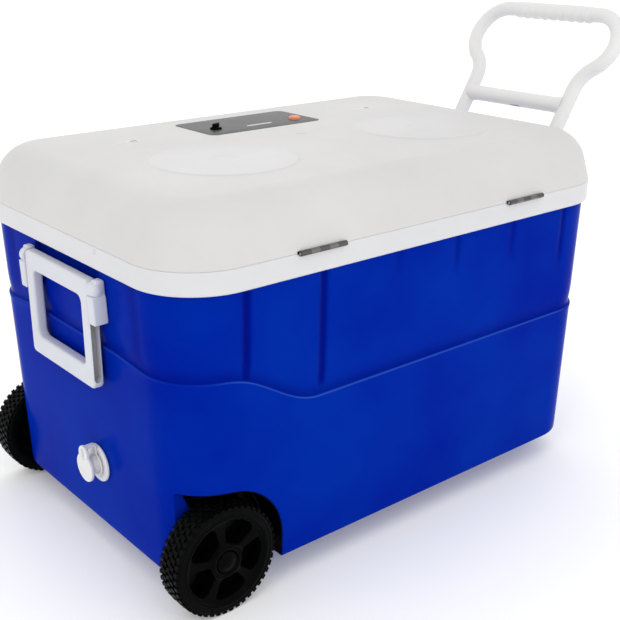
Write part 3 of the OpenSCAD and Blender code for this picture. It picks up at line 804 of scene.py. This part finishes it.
def lugs(count, rows):
    """Small tapered lugs in rows round the tyre: (from, to, turn in pitches, skew, height above the axle)."""
    verts, faces = [], []
    for z0, z1, turn, skew, top in rows:
        for k in range(count):
            mid = 2 * math.pi * (k + turn) / count
            half = math.pi / count * 0.66
            base = len(verts)
            for r, shrink in ((top - 3.0, 1.0), (top - 0.4, 0.86), (top, 0.66)):
                za = z0 + (1 - shrink) * 1.6
                zb = z1 - (1 - shrink) * 1.6
                for z, s in ((za, -1), (za, 1), (zb, 1), (zb, -1)):
                    a = mid + s * half * shrink + skew * (0.5 if z == zb else -0.5)
                    verts.append((r * math.cos(a), r * math.sin(a), z))
            for j in (0, 4):
                for i in range(4):
                    k2 = (i + 1) % 4
                    faces.append((base + j + i, base + j + k2, base + j + 4 + k2, base + j + 4 + i))
            faces.append((base, base + 1, base + 2, base + 3))
            faces.append((base + 8, base + 9, base + 10, base + 11))
    return verts, faces


def rounded_polygon(corners, steps=6):
    """corners are (point, radius); a radius of 0 keeps the corner."""
    out = []
    for i, (p, rc) in enumerate(corners):
        if not rc:
            out.append(p)
            continue
        d0 = (corners[i - 1][0] - p).normalized()
        d1 = (corners[(i + 1) % len(corners)][0] - p).normalized()
        half = d0.angle(d1) / 2
        centre = p + (d0 + d1).normalized() * (rc / math.sin(half))
        start = p + d0 * (rc / math.tan(half)) - centre
        end = p + d1 * (rc / math.tan(half)) - centre
        a0 = math.atan2(start.y, start.x)
        turn = (math.atan2(end.y, end.x) - a0 + math.pi) % (2 * math.pi) - math.pi
        for j in range(steps + 1):
            a = a0 + turn * j / steps
            out.append(centre + rc * Vector((math.cos(a), math.sin(a))))
    return out


LUGS = 46
SPOKES, POCKET_TURN = 5, -62


def wheel(side, tag):
    place = wheel_frame(side)
    body_name = "wheel_" + tag
    tyre = lathe("tyre_" + tag + "_tread", tread_ring(), 3 * LUGS, place, closed=True)
    rows = [(0.6, 7.4, 0.0, 0.02, WHEEL_R - 0.5), (7.9, 15.0, 0.5, -0.02, WHEEL_R),
            (15.5, 22.0, 0.0, 0.02, WHEEL_R), (22.5, 29.6, 0.5, -0.02, WHEEL_R),
            (30.1, WIDTH - 0.7, 0.0, 0.02, WHEEL_R - 0.5)]
    verts, faces = lugs(LUGS, rows)
    blocks = make("tread_blocks_" + tag, [place @ Vector(v) for v in verts], faces)
    finish_piece(tyre, body_name, TYRE, ["tyre_" + tag], 30)
    finish_piece(blocks, body_name, TYRE, (), 30)
    # core: rim, five broad pockets between spokes, hub
    w = WIDTH
    prof = [(5.05, -5.4), (18, -5.4), (18, 12), (52, 12), (52, 0.4), (53, 0), (57.9, 0), (57.9, w - 0.2),
            (57.2, w + 0.3), (55.6, w + 0.3), (54.4, w - 0.5), (53.6, w - 1.8), (52.6, w - 2.8),
            (50.6, w - 3.3), (40, w - 3.0), (26, w - 2.6), (22, w - 2.0), (20.6, w - 0.9), (19.6, w + 0.3),
            (18.2, w + 0.7), (16.4, w + 0.5), (15.0, w - 0.4), (14.2, w - 1.6), (14.0, w - 3.2),
            (14.0, w - 7.6), (5.05, w - 7.6)]
    core = lathe("wheel_core_" + tag + "_moulding", prof, 144, place, closed=True)
    pockets = []
    for k in range(SPOKES):
        mid = 2 * math.pi * k / SPOKES + math.radians(POCKET_TURN)
        shape = [(24.5, -25, 4), (50.6, -28, 7), (51.4, -13, 0), (51.6, 0, 0), (51.4, 13, 0), (50.6, 28, 7),
                 (24.5, 25, 4)]
        angles = [mid + math.radians(a) for _, a, _ in shape]
        poly = rounded_polygon([(Vector((r * math.cos(t), r * math.sin(t))), rc)
                                for t, (r, _, rc) in zip(angles, shape)])
        c = sum(poly, Vector((0, 0))) / len(poly)
        rings = []
        for z, f in ((w - 20, 0.86), (w - 16, 0.90), (w - 7, 0.955), (w - 5, 0.975), (w - 4, 1.0),
                     (w - 3.3, 1.035), (w - 2.6, 1.08), (w + 3, 1.10)):
            rings.append([place @ Vector((*(c + (p - c) * f), z)) for p in poly])
        pockets.append(loft("pocket", rings))
    combine(core, pockets)
    finish_piece(core, body_name, BLACK, ["wheel_core_" + tag], 34)
    dome = [(0, w - 4.4), (10, w - 4.4), (13.7, w - 4.4), (13.7, w - 1.2), (13.3, w - 0.2), (12.2, w + 0.5),
            (10.6, w + 0.4), (9.8, w + 0.6), (8.6, w + 1.6), (5, w + 2.6), (0, w + 2.9)]
    cap = lathe("hub_cap_" + tag + "_dome", dome, 64, place)
    finish_piece(cap, body_name, BLACK, ["hub_cap_" + tag], 50)


wheel(-1, "l")
wheel(1, "r")

# ---------- tow handle ----------

TOW_PX, _, TOW_PZ = local(joints["tow_pivot"]["pos_m"])
TOW_ANGLE = 32  # how far the handle leans out at rest
TOW_FRAME = move(TOW_PX, 0, TOW_PZ) @ turn(TOW_ANGLE, "Y")
TOW_UP = TOW_FRAME.to_3x3() @ Vector((1, 0, 0))
CROSSBAR_AT = 134.0
LEG, TUBE_R, TOW_LEN, FLARE = 99.0, 11.0, 288.0, 39.0
BEND_A = 2 * math.atan(0.5)
BEND_R = FLARE / 2 / (1 - math.cos(BEND_A))
LEG_LEN = TOW_LEN - BEND_R - 2 * BEND_R * math.sin(BEND_A)


def in_tow(side, along):
    """A point of the handle's own plane: sideways (+Y) and up its length."""
    return TOW_FRAME @ Vector((0, side, along))


def tow_path():
    """Half of the loop's middle line, from a foot to the start of the top run, and where that run starts."""
    half = [(LEG, 0.0)]
    half += [(LEG, v) for v in spread(8, LEG_LEN, 12)]
    n = 10
    for i in range(1, n + 1):
        t = BEND_A * i / n
        half.append((LEG + BEND_R * (1 - math.cos(t)), LEG_LEN + BEND_R * math.sin(t)))
    cx, cy = LEG + FLARE - BEND_R, TOW_LEN - BEND_R
    for i in range(1, 25):
        t = -BEND_A + (BEND_A + math.pi / 2) * i / 24
        half.append((cx + BEND_R * math.cos(t), cy + BEND_R * math.sin(t)))
    return half, cx


half_path, top_x = tow_path()
top_run = [(v, TOW_LEN) for v in spread(top_x, -top_x, 3)[1:-1]]
whole = half_path + top_run + [(-x, y) for x, y in reversed(half_path)]
frame_obj = tube("tow_handle_loop", [in_tow(x, y) for x, y in whole], TUBE_R, 30, TOW_UP)
feet = [move(TOW_PX, s * LEG, TOW_PZ) @ turn(90, "X") for s in (-1, 1)]
BOSS = [(0, -10.9), (11, -10.9), (11.9, -10), (11.9, 10), (11, 10.9), (0, 10.9)]
combine(frame_obj, [lathe("boss", BOSS, 40, foot) for foot in feet], "UNION")
combine(frame_obj, [rod(4.05, -20, 20, foot) for foot in feet])
finish_piece(frame_obj, "tow_handle", WHITE, ["tow_legs", "tow_loop"], 45)


def bar_radius(pts, base, swell):
    """Cross tube that swells into a fillet where it meets the legs."""
    def f(i, a):
        end = min(abs(pts[i] - LEG), abs(pts[i] + LEG)) - TUBE_R
        return base + swell * math.exp(-max(end, 0) / 3.5)
    return f


bar_y = spread(LEG - 4, -LEG + 4, 3)
crossbar = tube("tow_handle_crossbar", [in_tow(v, CROSSBAR_AT) for v in bar_y], bar_radius(bar_y, 11.9, 2.2),
                30, TOW_UP)
SLOT = TOW_FRAME @ move(0, -4, CROSSBAR_AT) @ turn(90, "Z")
slot_cut = plate("slot", 10, 2.6, 2.5, [(-16, 0), (-9.6, 0)])
slot_cut.data.transform(SLOT)
combine(crossbar, [slot_cut])
finish_piece(crossbar, "tow_handle", WHITE, ["tow_crossbar"], 45)
slot_fill = plate("tow_crossbar_slot", 9.6, 2.3, 2.2, [(-10.4, 0.3), (-10.1, 0), (-9.2, 0)])
slot_fill.data.transform(SLOT)
finish_piece(slot_fill, "tow_handle", BLACK)


GRIP_HALF = 77


def grip_radius(pts):
    """Full round above; below, a row of shallow finger scallops that fade out at both ends."""
    def f(i, a):
        end = smooth((GRIP_HALF - abs(pts[i])) / 8)
        under = smooth(-math.cos(a) * 1.4)
        scallop = 0.5 + 0.5 * math.cos(2 * math.pi * pts[i] / 17.5)
        return 11.15 + end * (0.95 + 1.5 * under * scallop)
    return f


grip_y = spread(GRIP_HALF, -GRIP_HALF, 1.6)
grip = tube("tow_handle_grip", [in_tow(v, TOW_LEN) for v in grip_y], grip_radius(grip_y), 36, TOW_UP)
finish_piece(grip, "tow_handle", WHITE, ["tow_grip"], 60)
for tag in ("l", "r"):
    softened("tow_bracket_" + tag, 1.6, WHITE, "tub")
softened("tow_pins", 0.7, STEEL, frame["nodes"]["tow_pins"]["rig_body"])
softened("tow_screws", 0.8, STEEL, "tub")

# ---------- carry handle ----------

BAIL_X, _, BAIL_Z = local(joints["carry_pivot"]["pos_m"])
bail_lo, bail_hi = (local(p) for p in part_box("carry_bail"))
BAIL_DEPTH = 14
BAIL_FOOT = 226.0  # height of the bottom run's channels
PIN_BORE = 3.06


def bail():
    """Rectangular loop, its edges rounded over: (depth, inset) pairs run from its front to its back."""
    mid_z = (bail_lo.z + bail_hi.z) / 2
    e = 3.2
    front = [(0, e), (0.25, e * 0.61), (0.94, e * 0.29), (1.98, e * 0.08), (e, 0)]
    outer = front + [(BAIL_DEPTH - d, i) for d, i in reversed(front)]

    def ring_at(hy, hz, r, depth, zc):
        return [(bail_lo.x + depth, py, zc + pz) for py, pz, _, _ in outline(hy, hz, r, corner_n=8)]

    rings = [ring_at(80 - i, 67.6 - i, 7.5 - i, d, mid_z - 1.4) for d, i in outer]
    inner = [ring_at(61.5 + i, 43.2 + i, 8.5 + i, d, mid_z - 0.2) for d, i in reversed(outer)]
    return loft("carry_bail_ring", rings + inner, ring=True)


def leg_channel(name, s, half, top, sides):
    """Prism in the open channel down the outside of a leg, round at its foot."""
    pts = [(BAIL_X - half, top)]
    pts += [(BAIL_X + half * math.cos(math.radians(a)), BAIL_FOOT + half * math.sin(math.radians(a)))
            for a in range(180, 361, 15)]
    pts += [(BAIL_X + half, top)]
    return loft(name, [[(x, s * y, z) for x, z in pts] for y in sides])


bail_obj = bail()
groove_cuts = [rod(PIN_BORE, -7, 7, move(BAIL_X, s * 76, BAIL_Z) @ turn(90, "X")) for s in (-1, 1)]
groove_cuts += [leg_channel("leg_channel", s, 5.4, 303.0, (68.6, 84)) for s in (-1, 1)]
back_cut = plate("back_channel", 60, 5.5, 2.0, [(-1, 0), (8, 0)])
back_cut.data.transform(move(bail_hi.x + 1, 0, BAIL_FOOT) @ turn(-90, "Y") @ turn(90, "Z"))
groove_cuts.append(back_cut)
combine(bail_obj, groove_cuts)
finish_piece(bail_obj, "carry_handle", COOL, ["carry_bail"], 40)
# each leg channel gets a grey floor: painted shade
for s, tag in ((-1, "near"), (1, "far")):
    fill = leg_channel("carry_channel_floor_" + tag, s, 5.25, 300.0, (68.3, 69.1))
    finish_piece(fill, "carry_handle", SHADE)


def carry_bracket(s, tag):
    """Block on the wall, a domed knuckle over the pivot, and a short stem behind it that rises past its
    crown."""
    node = "carry_bracket_" + tag
    up = (-BAIL_X - half_l(0)) * math.sin(LEAN) + BAIL_Z * math.cos(LEAN)  # the pivot, up the end wall

    def slab(y0, y1, u0, u1, w1, width):
        pts = [(u0, -1.0), (u0, w1), (u1, w1), (u1, -1.0)]
        obj = loft("slab", [[END_WALL @ Vector((-s * y, u, w)) for u, w in pts] for y in (y0, y1)])
        return soft_edges(obj, width, 3)

    block = slab(80.8, 95.0, 297.5, up - 6.5, 17.5, 2.2)
    block.name = node + "_block"
    stem = slab(81.0, 94.4, up - 9, up + 11.4, 10.5, 3.0)
    pivot = move(BAIL_X, 0, BAIL_Z) @ turn(-90 * s, "X")
    knuckle = lathe("knuckle", [(0, 80.8), (8.6, 80.8), (9.3, 81.5), (9.4, 87), (8.8, 91), (7.2, 94), (4.6, 96),
                                (2.2, 96.8), (0, 97)], 40, pivot)
    combine(block, [stem, knuckle], "UNION")
    combine(block, [rod(PIN_BORE, 60, 94.2, pivot)])
    finish_piece(block, "tub", COOL, [node], 40)


carry_bracket(-1, "l")
carry_bracket(1, "r")
softened("carry_pins", 0.6, STEEL, frame["nodes"]["carry_pins"]["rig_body"])

# ---------- drain ----------

SPOUT = [(9, -40), (12, -40), (12, 1.2), (25, 1.2), (25.2, 2.2), (24.8, 3.6), (23.6, 4.6), (22, 5), (17.5, 5),
         (16.6, 4.6), (15.2, 4.2), (13.8, 4.6), (12.9, 5.4), (12.2, 6.4), (12, 8), (12, 17.2), (11.2, 18),
         (9.8, 18), (9, 17.2)]
spout = lathe("drain_spout_flange", SPOUT, 64, DRAIN, closed=True)
finish_piece(spout, "tub", WHITE, ["drain_spout"], 45)


LOBE_AT = DRAIN @ move(0, 18.5, 0) @ turn(90, "Z")  # where the lobe's finger recess is


def cap_outline(grow):
    """A disc and the lobe above it, blended smoothly where they meet, about the disc's centre."""
    disc_r, lobe_r, soft, furthest = 19.0, 10.5, 6.0, 30.2
    lobe_at = Vector((0, 19.5))
    pts = []
    for i in range(96):
        a = 2 * math.pi * i / 96
        d = Vector((math.cos(a), math.sin(a)))
        along = d.dot(lobe_at)
        under_root = lobe_r ** 2 - (lobe_at.length_squared - along * along)
        reach = disc_r
        if under_root > 0 and along > 0:
            lobe = along + math.sqrt(under_root)
            reach = max(disc_r, lobe) + max(soft - abs(disc_r - lobe), 0) ** 2 / (4 * soft)
        pts.append(d * (min(reach, furthest) + grow))
    return pts


z = 18.2
CAP = [(z, -1.6), (z, -0.8), (z + 0.5, -0.2), (z + 1.2, 0), (z + 3.2, 0), (z + 4.0, -0.3), (z + 4.4, -0.9),
       (z + 4.5, -1.8)]
cap = loft("drain_cap_disc", [[DRAIN @ Vector((p.x, p.y, h)) for p in cap_outline(g)] for h, g in CAP])
stem = lathe("stem", [(0, 10), (7.6, 10), (8.6, 11), (8.6, 19), (0, 19)], 48, DRAIN)
combine(cap, [stem], "UNION")
hollow = lathe("hollow", [(0, 9), (6, 9), (6, 17), (4, 18.6), (0, 19)], 32, DRAIN)
thumb = plate("thumb", 7.2, 3.4, 3.3, [(19.2, 1.2), (19.8, 0.4), (21, 0), (26, -2.6)])
thumb.data.transform(LOBE_AT)
combine(cap, [hollow, thumb])
finish_piece(cap, "drain_plug", WHITE, ["drain_cap"], 50)
# grey floor in the lobe's finger recess: painted shade
thumb_floor = plate("drain_cap_recess", 6.3, 2.6, 2.5, [(18.9, 0), (19.35, 0)])
thumb_floor.data.transform(LOBE_AT)
finish_piece(thumb_floor, "drain_plug", SHADE)
softened("drain_strap", 0.6, WHITE, frame["nodes"]["drain_strap"]["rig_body"])
softened("drain_nut", 1.2, WHITE, "tub")

# ---------- controls ----------

panel = plate("control_panel", 96, 50.5, 11, [(LID_TOP - 1.8, 0.4), (LID_TOP - 1.2, 0), (LID_TOP + 0.1, 0),
              (LID_TOP + 0.35, 0.12), (LID_TOP + 0.45, 0.5)], *PANEL_AT, corner_n=12)
combine(panel, [plate("slot", 21.5, 2.0, 1.5, [(LID_TOP - 0.2, 0), (LID_TOP + 3, 0)], 3, 97),
                rod(3.05, -5, 5, ON_KNOB), rod(8.8, -5, 5, ON_BUTTON, 48)])
finish_piece(panel, "lid", PANEL, ["panel_plate"], 30)
softened("indicator_bar", 0.25, WHITE, "lid")
for tag in ("l", "r"):
    softened("lid_plug_" + tag, 0.25, WHITE, "lid")
# a dark plate in each plug's slit: painted shade
for x, tag in zip(PLUGS, ("left", "right")):
    slit = plate("lid_plug_slit_" + tag, 5.2, 2.2, 2.1,
                 [(LID_TOP - 1.6, 0), (LID_TOP + 0.1, 0), (LID_TOP + 0.3, 0.2)], x + 9, PLUG_Y)
    finish_piece(slit, "lid", SHADE_DARK)


def knob():
    """Pointer knob: a skirt with a raised wing that tapers to the pointer end."""
    skirt = [(0, -5), (3, -5), (3, 0.75), (8.4, 0.75), (8.5, 1.2), (8.3, 2.4), (7.6, 3.3), (6.4, 3.7), (0, 3.8)]
    base = lathe("selector_knob_wing", skirt, 48, ON_KNOB)
    rings = []
    for z, f in ((2.6, 1.0), (7.2, 0.97), (8.3, 0.9), (8.9, 0.74)):
        row = []
        for i in range(32):
            a = 2 * math.pi * i / 32
            x, y = 9.3 * math.cos(a), 2.7 * math.sin(a)
            y *= 1 - 0.25 * max(math.cos(a), 0)
            x *= 0.96 + 0.04 * f if z < 8 else f * 1.02
            row.append(ON_KNOB @ turn(25, "Z") @ Vector((x, y * f, z)))
        rings.append(row)
    combine(base, [loft("wing", rings)], "UNION")
    finish_piece(base, "selector", BLACK, ["selector_knob"], 40)


knob()
button = lathe("button_cap", [(0, -3), (8.5, -3), (8.5, 2.6), (8.2, 3.1), (7.2, 3.3), (6.7, 3.35), (6.5, 3.9),
               (6.1, 4.3), (5.2, 4.4), (0, 4.25)], 56, ON_BUTTON)
finish_piece(button, "button", ORANGE, ["push_button"], 40)

# ---------- what stays as it is in the CAD, or only loses its sharp edges ----------

softened("foot_block", 3.0, BLUE, "tub", 4)
softened("axle_saddles", 1.0, BLACK, "tub")
softened("axle_push_nuts", 0.4, STEEL, frame["nodes"]["axle_push_nuts"]["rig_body"])

kept = {
    "axle": STEEL, "foam_jacket": FOAM, "lid_foam": FOAM, "lid_seal": SEAL, "drain_gasket": SEAL,
    "hinge_leaf_tub_l": DARK_STEEL, "hinge_leaf_tub_r": DARK_STEEL, "hinge_leaf_lid_l": MID_STEEL,
    "hinge_leaf_lid_r": MID_STEEL, "hinge_pins": STEEL, "hinge_screws_tub": STEEL, "hinge_screws_lid": STEEL,
}
for node, mat in kept.items():
    obj = frame["nodes"][node]
    if not obj.material_slots:
        obj.data.materials.append(mat)
    for slot in obj.material_slots:
        slot.material = mat

# ---------- camera, floor and light ----------

# the photo's viewpoint, from a perspective fit to the object's straight edges
FOCAL = 60.297
CAMERA_AT = (-0.9607, -1.0926, 0.7629)
CAMERA_TILT, CAMERA_HEADING = 0.3571, -0.6877
camera_data = bpy.data.cameras.new("camera")
camera = bpy.data.objects.new("camera", camera_data)
bpy.context.scene.collection.objects.link(camera)
camera_data.sensor_width = 36
camera_data.lens = FOCAL
camera.location = CAMERA_AT
camera.rotation_euler = (math.pi / 2 - CAMERA_TILT, 0, CAMERA_HEADING)
bpy.context.scene.camera = camera

floor_mesh = bpy.data.meshes.new("floor")
floor_mesh.from_pydata([(-30, -30, 0), (30, -30, 0), (30, 30, 0), (-30, 30, 0)], [], [(0, 1, 2, 3)])
floor = bpy.data.objects.new("floor", floor_mesh)
bpy.context.scene.collection.objects.link(floor)
floor_look = Look("pale_floor")
for name, value in {"Base Color": (0.97, 0.97, 0.975, 1), "Roughness": 0.9,
                    "Emission Color": (1.0, 0.99, 0.93, 1), "Emission Strength": 0.09}.items():
    floor_look.shader.inputs[name].default_value = value
floor.data.materials.append(floor_look.mat)


def area(name, place, target, size, power):
    """A soft square light aimed at target."""
    data = bpy.data.lights.new(name, "AREA")
    data.shape = "RECTANGLE"
    data.size, data.size_y = size
    data.energy = power
    obj = bpy.data.objects.new(name, data)
    obj.location = place
    obj.rotation_euler = (Vector(target) - Vector(place)).to_track_quat("-Z", "Y").to_euler()
    bpy.context.scene.collection.objects.link(obj)


area("key_above", (-0.3, -0.5, 2.6), (0, 0, 0.2), (2.6, 2.2), 3)
area("front_left", (-2.6, -1.0, 1.3), (0, 0, 0.25), (1.6, 1.8), 4)
area("front_right", (0.9, -2.8, 1.2), (0, 0, 0.3), (2.2, 1.6), 5)
area("back_fill", (1.2, 2.6, 1.8), (0, 0, 0.3), (2.4, 1.6), 4)
area("spark_left", (-2.0, -1.3, 2.3), (0, 0, 0.2), (0.12, 0.12), 4)
area("spark_right", (-0.7, -2.3, 1.7), (0, 0, 0.2), (0.12, 0.12), 3)
world = bpy.data.worlds.new("studio")
bpy.context.scene.world = world
bpy.context.scene.view_settings.view_transform = "Standard"
world.use_nodes = True
world.node_tree.nodes["Background"].inputs["Color"].default_value = (1, 1, 1, 1)
world.node_tree.nodes["Background"].inputs["Strength"].default_value = 1.02
